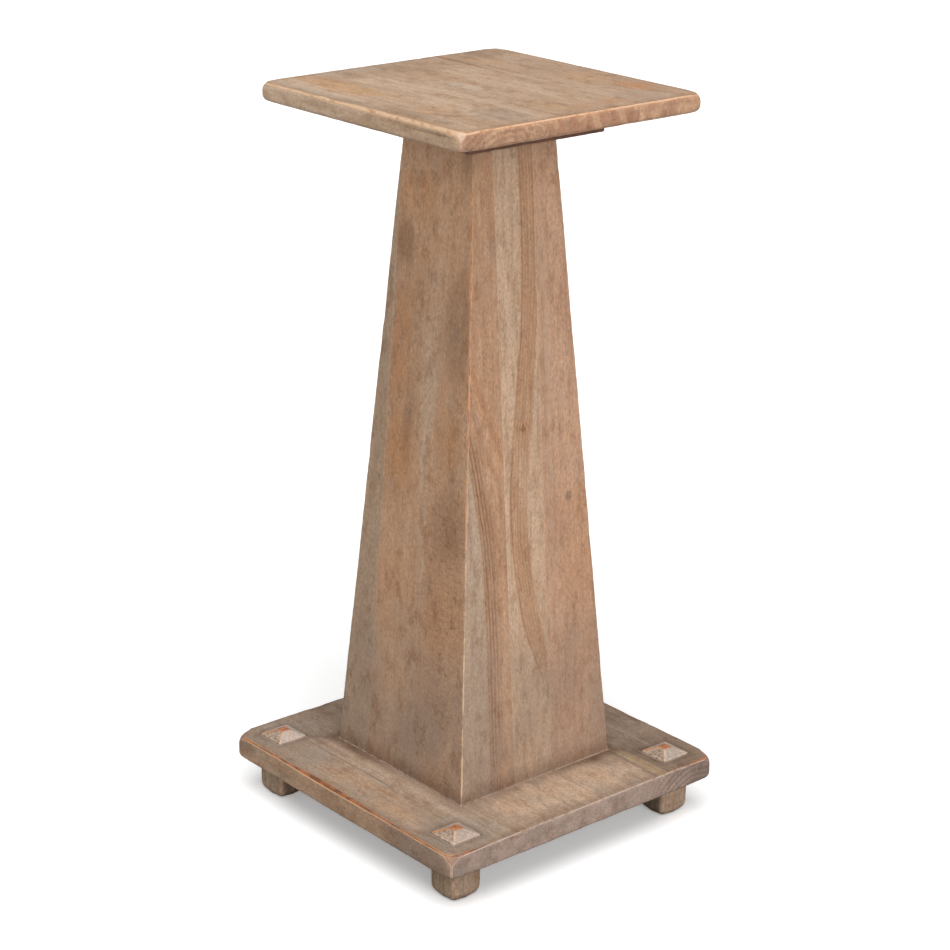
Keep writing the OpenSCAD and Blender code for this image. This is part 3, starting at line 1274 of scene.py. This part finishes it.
# %% [markdown]
# ## Patches on the base
#
# It is the same wood as the top, and its large marks are listed in the same way. It is
# burnished warm between the studs, with a painted sheen on the right ledge, and stayed grey in the
# corners. Painted shade darkens the back and the left ledge. An olive stripe with two dark
# borders crosses it in front of the back studs. The edges are greyer and show some end grain.

# %% Mark the faces of the base


def square_distance(x, y):
    """Distance from the middle, measured in squares: the larger of two offsets."""
    return x.math("ABSOLUTE").math("MAXIMUM", y.math("ABSOLUTE"))


def from_nearest_stud(x, y):
    """Offsets from the middle of the nearest stud: two outward ones, then rightward and backward."""
    off_x = x.math("ABSOLUTE") - STUD_CENTRE
    off_y = y.math("ABSOLUTE") - STUD_CENTRE
    return off_x, off_y, off_x * x.math("SIGN"), off_y * y.math("SIGN")


def base_patches(colour, x, y, layers):
    """Where the base is burnished warm between the studs with a painted sheen, where it stayed grey or
    dark, and painted shade at the back and on the left ledge.
    """
    tan = paint(202, 174, 149)
    orange = paint(190, 154, 122)
    dark = paint(134, 114, 98)
    grey = paint(160, 146, 132)
    colour = hand_patches(colour, x, y, (
        # Burnish on the right ledge, with a painted sheen over it.
        ((138, 6), (34, 92), tan, 0.85),
        ((140, 52), (16, 22), orange, 0.25),
        ((134, -64), (14, 20), orange, 0.30),
        ((150, -104), (22, 14), grey, 0.40),
        ((10, -118), (130, 11), paint(196, 172, 150), 0.60),
        ((10, -152), (78, 18), orange, 0.55),
        ((-96, -148), (34, 26), dark, 0.35),
        ((76, -160), (50, 9), orange, 0.40),
        # The next three dark patches, at the back right, behind the column and on the left ledge, are
        # painted shade.
        ((138, 138), (44, 34), dark, 0.75),
        ((60, 140), (70, 46), dark, 0.55),
        ((-140, -60), (46, 90), dark, 0.70),
        ((-150, -142), (34, 42), grey, 0.75),
        ((142, -142), (40, 40), grey, 0.70),
        ((-80, -150), (24, 30), grey, 0.35),
    ), layers["wash"])
    drift = (layers["clouds"] - 0.5) * (9 * MM)
    at_right = rise(x, 90 * MM, 110 * MM)
    # Painted shade on the right ledge behind the olive stripe.
    colour = mix(rise(y + drift, 112 * MM, 120 * MM) * at_right * 0.45, colour, paint(128, 106, 88))
    olive = near(y + drift, 107 * MM, 8 * MM) * at_right
    colour = mix(olive * (layers["wash"] * 0.7 + 0.4), colour, paint(170, 143, 104))
    for line, wide in ((99 * MM, 4 * MM), (115 * MM, 4 * MM)):
        border = near(y + drift, line, wide) * at_right
        colour = mix(border * (layers["wash"] * 0.7 + 0.2), colour, paint(108, 90, 74))
    return colour


def base_sides(y, z, number, ends, layers):
    """The greyer edges of the slab, with growth arcs where they show end grain."""
    tone = mix(rise(layers["wash"], 0.38, 0.62), paint(200, 174, 148), paint(142, 122, 104))
    tone = mix(rise(layers["clouds"], 0.40, 0.60) * 0.6, tone, paint(196, 158, 124))
    pale = mix(rise(layers["wash"], 0.36, 0.66), paint(194, 172, 158), paint(174, 154, 142))
    tone = mix(ends, tone, pale)
    arcs = rings(y + number * 0.01, z, (176 * MM, -6 * MM), layers["clouds"], 6 * MM)
    tone = mix(arcs * ends * rise(y, 70 * MM, 120 * MM) * 0.45, tone, paint(118, 100, 90))
    shadowed = rise(y, 120 * MM, 165 * MM) * ends
    return mix(shadowed * 0.5, tone, paint(120, 102, 94))


print("seams of the base in mm:", [round(seam / MM, 1) for seam in BASE_SEAMS])

# %% [markdown]
# ## The wood of the base
#
# The base takes more of everything that happens near a floor. Grime and painted shade darken it round the
# foot of the column and round each stud, and the pocket rims carry a painted highlight and painted shade.
# The worn line is deepest on the front arris, where it shows rust between two pale borders, and thinner and
# whiter on the right one. Painted shade runs along its lower edge. Each of these is a function of its own,
# and the wood is put together from them at the end.

# %% Make the base wood


def base_face(x, y, z, number, layers):
    """The upper face: clouds, growth rings, patches, streaks, one long crack, pores and wash."""
    colour = mix(layers["clouds"], paint(188, 164, 142), paint(168, 144, 124))
    figure = rings(y + number * 0.07, z, (30 * MM, -60 * MM), layers["clouds"], 12 * MM)
    colour = mix(figure * 0.25, colour, paint(158, 130, 106))
    colour = base_patches(colour, x, y, layers)
    colour = mix(rise(layers["streaks"], 0.50, 0.66) * 0.34, colour, paint(140, 116, 96))
    colour = mix(rise(layers["streaks"], 0.44, 0.30) * 0.24, colour, paint(208, 184, 160))
    crack = near(y + (layers["clouds"] - 0.5) * 0.008, -130 * MM, 1.5 * MM)
    crack = crack * rise(x, 70 * MM, 0.0) * rise(x, -124 * MM, -120 * MM)
    colour = mix(crack * (rise(layers["wash"], 0.4, 0.6) * 0.4 + 0.35), colour, paint(96, 78, 64))
    colour = open_pores(colour, layers, strength=0.30)
    return mix(rise(layers["wash"], 0.50, 0.70) * 0.40, colour, paint(156, 144, 132))


def base_grime_and_painted_shade(colour, x, y, from_stud, on_top, layers):
    """Grime and painted shade round the foot of the column, weaker on its lit front right, and round each
    stud.
    """
    from_column = square_distance(x, y) - FOOT_HALF
    # A halo of painted shade and grime, weaker on the lit front right of the column.
    open_side = rise(x - y, 40 * MM, 120 * MM)
    halo = rise(from_column, 16 * MM, 2 * MM) * 0.70 + rise(from_column, 34 * MM, 8 * MM) * 0.35
    halo = halo * (1.0 - open_side * 0.75)
    halo = halo + rise(from_stud, 12 * MM, 1 * MM) * 0.45
    halo = (halo * (layers["wash"] * 1.2 + 0.4)).math("MINIMUM", 1.0)
    return tint(halo * on_top * 0.80, colour, GRIME_AND_SHADE)


def stud_rim_light_and_shade(colour, from_stud, rightward, backward, on_top, ragged):
    """The rim of each pocket: a painted highlight on the lip at its right and front, and painted shade in a
    trough on the other sides.
    """
    lit = rightward.math("MAXIMUM", backward * -1.0) - STUD_HALF
    shut = backward.math("MAXIMUM", rightward * -1.0) - STUD_HALF
    # Painted highlight on the lip of the lit sides.
    lip = near(from_stud, 0.9 * MM, 1.5 * MM) * rise(lit, -0.5 * MM, 0.8 * MM) * on_top
    colour = mix(lip * rise(ragged, 0.25, 0.50) * 0.70, colour, paint(204, 186, 170))
    # Painted shade in the trough on the shut sides.
    trough = rise(from_stud, 2.4 * MM, 0.6 * MM) * rise(shut, -0.5 * MM, 0.5 * MM) * on_top
    colour = mix(trough * 0.65, colour, paint(84, 70, 60))
    # Painted light over the shade of the gap on the lit sides.
    gap_painted_light = rise(from_stud, 1.2 * MM, 0.3 * MM) * rise(lit, -0.5 * MM, 0.5 * MM)
    return mix(gap_painted_light * 0.6, colour, paint(176, 158, 142))


def base_arrises(colour, place, x, z, ragged):
    """Rust between pale borders along the front and back, chalk along the ends, bare corners, and painted
    shade along the lower edge.
    """
    in_x, in_y = box_distances(place, base_low, base_high)[:2]
    plan = rounded_inset(in_x, in_y, 17 * MM)
    from_top = base_high.z - z
    drift = noise(place, 0.06, 1.0)
    flicker = rise(noise(place, 0.008, 2.0), 0.30, 0.50)
    rusty = rise(noise(stretched(place, (0.4, 0.4, 1.0)), 0.006, 2.0, 0.6), 0.42, 0.60)
    colour = tint(rise(plan, 13 * MM, 4 * MM) * 0.35, colour, paint(176, 158, 144))
    # Painted shade along the lower edge of the slab.
    below = rise(z, base_low.z + 3 * MM, base_low.z + 0.5 * MM)
    colour = tint(below * 0.6, colour, GRIME_AND_SHADE)
    over = from_top - plan + (ragged - 0.5) * (1.2 * MM)
    corner = rise(in_x.math("MAXIMUM", in_y), 90 * MM, 20 * MM)
    rust = mix(rusty, paint(170, 104, 64), paint(122, 76, 52))
    front_tones = (mix(corner, rust, paint(208, 146, 92)), rust, paint(214, 172, 128))
    chalk = mix(flicker, paint(176, 156, 142), paint(212, 198, 188))
    end_tones = (mix(corner, paint(166, 128, 104), rust), mix(corner, chalk, rust), chalk)
    wedge = near(x, -22 * MM, 85 * MM)
    width = wedge * (1.9 * MM) + (drift * 1.4 + 0.5) * MM + 0.5 * MM
    along_x = striped(colour, over, width, front_tones, flicker * 0.25 + 0.60 + wedge * 0.15)
    broken = flicker * (0.30 + corner * 0.10) + corner * 0.30 + 0.25
    along_y = striped(colour, over, 0.9 * MM + corner * (0.8 * MM), end_tones, broken)
    colour = mix(rise(in_y - in_x, 0.0, 5 * MM), along_x, along_y)
    corner_tones = (mix(rusty, paint(180, 128, 100), paint(144, 108, 92)), paint(206, 180, 162))
    return corner_wear(colour, in_x, in_y, from_top, ragged, 14 * MM, corner_tones, 0.85)


def base_wood():
    material, place, normal = start_material("base_wood")
    x, y, z = axes(place)
    number = strip_number(y, BASE_SEAMS)
    layers = grain(shifted(place, number + 5.0), GRAIN_X)
    facing = axes(normal)
    sides = rise(facing[2], 0.75, 0.35)
    ends = rise(facing[0].math("ABSOLUTE"), 0.55, 0.85)

    side_tone = open_pores(base_sides(y, z, number, ends, layers), layers, strength=0.45)
    colour = mix(sides * 0.92, base_face(x, y, z, number, layers), side_tone)
    cool = patch(x, y, (138 * MM, -178 * MM), (66 * MM, 26 * MM), layers["wash"]) * sides
    colour = mix(cool * 0.50, colour, paint(136, 124, 116))

    off_x, off_y, rightward, backward = from_nearest_stud(x, y)
    from_stud = square_distance(off_x, off_y) - STUD_HALF
    on_top = rise(z, base_high.z - 3 * MM, base_high.z - 1 * MM)
    ragged = noise(stretched(place, (0.5, 0.5, 1.0)), 0.009, 3.0, 0.65)
    colour = base_grime_and_painted_shade(colour, x, y, from_stud, on_top, layers)
    colour = weathered(colour, layers, blotches=0.50, grit=0.95)
    colour = stud_rim_light_and_shade(colour, from_stud, rightward, backward, on_top, ragged)
    colour = base_arrises(colour, place, x, z, ragged)
    relief = planed_relief(layers, fibres=0.4, pores=0.6, grit=0.4)
    return finish(place, colour, relief, 0.5 + layers["wash"] * 0.28, material)


settle(base_slab, "base_slab", base_wood())

# %% [markdown]
# ## The studs
#
# Each stud is a small pillow of wood with a low pyramid on top. A sharp pyramid would look machined,
# so the two slopes that meet at a ridge are blended by a soft minimum, which rounds the ridges and
# the tip. A little noise makes the faces uneven, as if cut with a chisel.

# %% Build the studs
STUD_RIM = 0.8 * MM
STUD_RIDGE = 1.5 * MM
STUD_RADII = (0.7 * MM, 0.2 * MM, 2.2 * MM)


def soft_minimum(first, second, blend):
    """The smaller of two values, with a rounded crossing."""
    return -blend * np.log(np.exp(-first / blend) + np.exp(-second / blend))


def build_stud(corner, seed):
    low, high = (np.array(value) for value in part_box("stud_" + corner))
    rim = base_high.z + STUD_RIM
    flat_high = np.array([high[0], high[1], rim])
    xs, ys = (cuts(low[i], high[i], edge=2 * MM, middle=0.9 * MM, steps=4) for i in range(2))
    points, quads = grid_box(xs, ys, np.linspace(low[2], rim, 5))
    centre = (low + high) / 2
    on_top = points[:, 2] > rim - 1e-6
    across = STUD_HALF - np.abs(points[:, 0] - centre[0])
    along = STUD_HALF - np.abs(points[:, 1] - centre[1])
    slope = np.clip(soft_minimum(across, along, STUD_RIDGE), 0, None)
    full = STUD_HALF - 4 * MM
    rise_share = soft_minimum(slope / full, np.full(len(slope), 1.0), 0.10)
    points = eased(points, low, flat_high, STUD_RADII)
    points[:, 2] += on_top * (high[2] - rim) * np.clip(rise_share, 0, 1)
    piece = make_mesh("stud_" + corner + "_worn", points, quads)
    above = np.clip((points[:, 2] - base_high.z) / (2 * MM), 0, 1)
    push = above * (lump(points, 8 * MM, seed) * 0.7 * MM + lump(points, 3 * MM, seed + 1) * 0.25 * MM)
    push_in(piece, push)
    return piece


studs = {corner: build_stud(corner, 51 + 2 * index) for index, corner in enumerate(CORNERS)}

# %% [markdown]
# ## The wood of the studs
#
# The tip takes every knock, so the coat there is gone and the orange wood shows. Pale lines run down
# the ridges, which are where the offsets from the stud's middle are equal in both directions.

# %% Make the stud wood


def stud_faces(front, speckle, layers):
    """Washed end grain, which is browner and more speckled on the slope that looks to the front."""
    colour = mix(rise(layers["wash"], 0.35, 0.65), paint(200, 185, 173), paint(178, 163, 152))
    colour = mix(front * 0.6, colour, paint(170, 144, 120))
    colour = mix(rise(speckle, 0.48, 0.60) * (front * 0.50 + 0.15), colour, paint(96, 78, 64))
    colour = mix(rise(layers["mottle"], 0.46, 0.60) * 0.22, colour, paint(206, 158, 120))
    return open_pores(colour, layers, strength=0.25)


def stud_ridges(colour, offsets, outer, ragged, bend):
    """Cream lines down the four ridges, and the left one rubbed down to the orange coat."""
    off_x, off_y, rightward, backward = offsets
    ridge = (off_x.math("ABSOLUTE") - off_y.math("ABSOLUTE") + bend).math("ABSOLUTE")
    ridge_line = rise(ridge, 2.2 * MM, 0.6 * MM) * rise(outer, 2 * MM, 5 * MM)
    left = rise(rightward + backward, 2 * MM, -4 * MM)
    level = rise(rightward - backward, 9 * MM, 3 * MM)
    left_ridge = rise(ridge, 3.2 * MM, 1.0 * MM) * rise(outer, 2 * MM, 4 * MM) * left * level
    cream = mix(left, paint(214, 190, 168), paint(226, 186, 142))
    colour = mix(ridge_line * 0.65, colour, cream)
    rubbed = mix(rise(ragged, 0.4, 0.6), paint(216, 150, 92), paint(190, 118, 68))
    return mix(left_ridge * 0.85, colour, rubbed)


def stud_tip(colour, offsets, outer, ragged, bend):
    """The bare orange tip, which lies a little to the left and back, and the pale outer edge."""
    rightward, backward = offsets[2:]
    from_tip = square_distance(rightward + 2.6 * MM, backward - 2.6 * MM)
    tip = rise(from_tip + bend * 1.2, 8.0 * MM, 5.2 * MM) * rise(outer, 9 * MM, 7 * MM)
    bare = mix(rise(ragged, 0.4, 0.6), paint(200, 128, 78), paint(168, 98, 58))
    colour = mix(tip * 0.90, colour, bare)
    high_edge = rise(outer, STUD_HALF - 2.6 * MM, STUD_HALF - 0.8 * MM)
    return mix(high_edge * rise(ragged, 0.35, 0.6) * 0.45, colour, paint(216, 192, 170))


def stud_wood():
    material, place, normal = start_material("stud_wood")
    x, y, z = axes(place)
    layers = grain(place, GRAIN_X)
    speckle = noise(place, 0.0026, 2.0, 0.6)
    front = rise(axes(normal)[1], -0.1, -0.2)
    offsets = from_nearest_stud(x, y)
    outer = square_distance(*offsets[:2])
    ragged = noise(place, 0.005, 3.0)
    bend = (ragged - 0.5) * (4 * MM)

    colour = stud_faces(front, speckle, layers)
    colour = stud_ridges(colour, offsets, outer, ragged, bend)
    colour = stud_tip(colour, offsets, outer, ragged, bend)
    colour = tint(rise(z, base_high.z + 0.9 * MM, base_high.z) * 0.45, colour, GRIME_AND_SHADE)
    colour = shade(colour, (layers["grit"] - 0.5) * 0.8 + 1.0)
    relief = speckle * 0.6 + layers["fibres"] * 0.4
    return finish(place, colour, relief, 0.5 + layers["wash"] * 0.25, material, depth=0.4)


stud_finish = stud_wood()
for corner, stud in studs.items():
    settle(stud, "stud_" + corner, stud_finish)

# %% [markdown]
# ## The feet
#
# The feet are plain blocks, sawn across the grain and rounded at the floor. They are cut finely all
# over, because nearly all of so small a block is arris. Their upper edges are only just eased.

# %% Build the feet
FOOT_RADII = (1.2 * MM, 8 * MM, 8 * MM)


def build_foot(corner, seed):
    low, high = (np.array(value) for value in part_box("foot_" + corner))
    places = [cuts(low[i], high[i], edge=16 * MM, middle=2 * MM, steps=16) for i in range(3)]
    points, quads = grid_box(*places)
    points = eased(points, low, high, FOOT_RADII, knocked=(0.0, 4.5 * MM))
    piece = make_mesh("foot_" + corner + "_worn", points, quads)
    push = hand_worn(points, low, high, GRAIN_Z, seed)
    push *= np.clip((points[:, 2] - low[2]) / (4 * MM), 0, 1)
    push_in(piece, push)
    return piece


feet = {corner: build_foot(corner, 61 + 4 * index) for index, corner in enumerate(CORNERS)}
print("feet built:", list(feet))

# %% [markdown]
# ## The wood of the feet
#
# The coat is dull and darker in the streaks. The upright corners are rubbed through in broken
# patches, grime gathers at the floor, and a painted shadow darkens the top just under the slab.
# The faces that look under the stand carry painted shade.

# %% Make the foot wood
block_low, block_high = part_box("foot_front_right")
BLOCK_HALF = (block_high.x - block_low.x) / 2
BLOCK_CENTRE = (block_high.x + block_low.x) / 2


def foot_faces(facing_right, layers):
    """The plain faces: cloudy, warmer at the right, with dark streaks, open pores and wash."""
    colour = mix(layers["clouds"], paint(182, 158, 130), paint(160, 136, 112))
    colour = mix(facing_right * 0.6, colour, paint(182, 150, 128))
    colour = mix(rise(layers["streaks"], 0.46, 0.66) * 0.45, colour, paint(124, 100, 80))
    colour = open_pores(colour, layers, strength=0.4)
    return mix(rise(layers["wash"], 0.45, 0.7) * 0.35, colour, paint(146, 132, 118))


def foot_corners(colour, place, x, y):
    """The upright corners of every foot, rubbed through in broken patches."""
    in_x = BLOCK_HALF - (x.math("ABSOLUTE") - BLOCK_CENTRE).math("ABSOLUTE")
    in_y = BLOCK_HALF - (y.math("ABSOLUTE") - BLOCK_CENTRE).math("ABSOLUTE")
    ragged = noise(place, 0.008, 3.0)
    upright = (in_x - in_y).math("ABSOLUTE") + in_x.math("MAXIMUM", in_y) * 0.40
    rubbed = rise(upright + (ragged - 0.5) * (6 * MM), 4.4 * MM, 1.8 * MM)
    rubbed = rubbed * rise(noise(place, 0.006, 2.0), 0.38, 0.54)
    bare = mix(rise(ragged, 0.4, 0.6), paint(204, 176, 156), paint(186, 130, 92))
    return mix(rubbed * 0.60, colour, bare)


def foot_grime_and_painted_shade(colour, z, inward):
    """Painted shade on the faces under the stand, grime at the floor, and painted shadow under the slab."""
    # Painted shade on the faces that look under the stand.
    colour = shade(colour, 1.0 - rise(inward, -0.3, -0.8) * 0.45)
    colour = tint(rise(z, 9 * MM, 1 * MM) * 0.4, colour, GRIME_AND_SHADE)
    # Painted shadow at the top of the foot, under the slab.
    colour = tint(rise(z, base_low.z - 10 * MM, base_low.z - 5 * MM) * 0.55, colour, GRIME_AND_SHADE)
    return mix(rise(z, base_low.z - 3.5 * MM, base_low.z - 1 * MM) * 0.75, colour, paint(74, 60, 50))


def foot_wood():
    material, place, normal = start_material("foot_wood")
    x, y, z = axes(place)
    facing = axes(normal)
    layers = grain(place, GRAIN_Z)
    colour = foot_faces(rise(facing[0], 0.3, 0.8), layers)
    colour = weathered(colour, layers, blotches=0.5, grit=1.2)
    colour = foot_corners(colour, place, x, y)
    colour = foot_grime_and_painted_shade(colour, z, facing[0] * x.math("SIGN") + facing[1] * y.math("SIGN"))
    relief = layers["streaks"] * 0.5 + layers["fibres"] * 0.5 + layers["grit"] * 0.4
    return finish(place, colour, relief, 0.5 + layers["wash"] * 0.28, material)


foot_finish = foot_wood()
for corner, foot in feet.items():
    settle(foot, "foot_" + corner, foot_finish)

# %% [markdown]
# ## The studio
#
# A large pale floor, an even white surround and three broad soft lamps are enough: one from above,
# a little to the front and right, one low at the right for the lit side, and a weak one at the front.
# The camera sees the floor and the surround as white. Everything else sees a duller floor, because
# a white one would throw too much light up under the slabs. The floor still takes the shadow.

# %% Make the floor, the surround and the lamps
FLOOR_HALF = 6.0
FLOOR_TONE = paint(176, 176, 176)
FLOOR_GLOW = 0.26
SURROUND = 0.36
WHITE = (1.0, 1.0, 1.0, 1.0)
LAMPS = (
    ((0.30, -0.28, 0.91), 1.70, 42),
    ((0.90, -0.32, 0.25), 1.50, 50),
    ((-0.25, -0.95, 0.15), 0.20, 60),
)


def white_floor():
    """A floor that the camera sees as white, while the object sees a duller one."""
    material, place = start_material("studio_floor")[:2]
    camera_ray = place.node("LightPath", {}, {}, out="Is Camera Ray")
    colour = mix(camera_ray, FLOOR_TONE, WHITE)
    matte = place.node("BsdfDiffuse", {}, {"Color": colour})
    glow = place.node("Emission", {}, {"Strength": camera_ray * FLOOR_GLOW})
    both = matte.node("AddShader", {}, {0: matte, 1: glow})
    both.node("OutputMaterial", {}, {"Surface": both})
    return material


def build_floor():
    """One large square, which isn't part of the object."""
    corners = [(x * FLOOR_HALF, y * FLOOR_HALF, 0) for x, y in ((-1, -1), (1, -1), (1, 1), (-1, 1))]
    mesh = bpy.data.meshes.new("studio_floor")
    mesh.from_pydata(corners, [], [(0, 1, 2, 3)])
    floor = bpy.data.objects.new("studio_floor", mesh)
    bpy.context.scene.collection.objects.link(floor)
    mesh.materials.append(white_floor())
    floor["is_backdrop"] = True


def surround(strength):
    """An even light from all sides, which the camera sees as white."""
    world = bpy.data.worlds.new("surround")
    world.use_nodes = True
    world.node_tree.nodes.clear()
    paths = world.node_tree.nodes.new("ShaderNodeLightPath")
    seen = Wire(paths.outputs["Is Camera Ray"])
    glow = {"Color": WHITE, "Strength": strength + seen * (1 - strength)}
    backdrop = seen.node("Background", {}, glow)
    backdrop.node("OutputWorld", {}, {"Surface": backdrop})
    bpy.context.scene.world = world


def soft_lamp(towards, strength, spread):
    """A broad soft lamp far away, `spread` degrees wide; `towards` points from the object to it."""
    lamp = bpy.data.objects.new("soft_lamp", bpy.data.lights.new("soft_lamp", "SUN"))
    lamp.data.energy = strength
    lamp.data.angle = math.radians(spread)
    lamp.rotation_mode = "QUATERNION"
    lamp.rotation_quaternion = Vector(towards).to_track_quat("Z", "Y")
    bpy.context.scene.collection.objects.link(lamp)


build_floor()
surround(SURROUND)
for towards, strength, spread in LAMPS:
    soft_lamp(towards, strength, spread)
bpy.context.scene.view_settings.view_transform = "Standard"

# %% [markdown]
# ## The size of the pieces
#
# The worn meshes are meant to fill the same box as the imported model. The two boxes are printed.

# %% Print the two boxes
worn_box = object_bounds()
boxes = {
    "cad": [list(corner) for corner in frame_box],
    "visual": [list(corner) for corner in worn_box],
}
for name, corners in boxes.items():
    print(name, [[round(value, 4) for value in corner] for corner in corners])
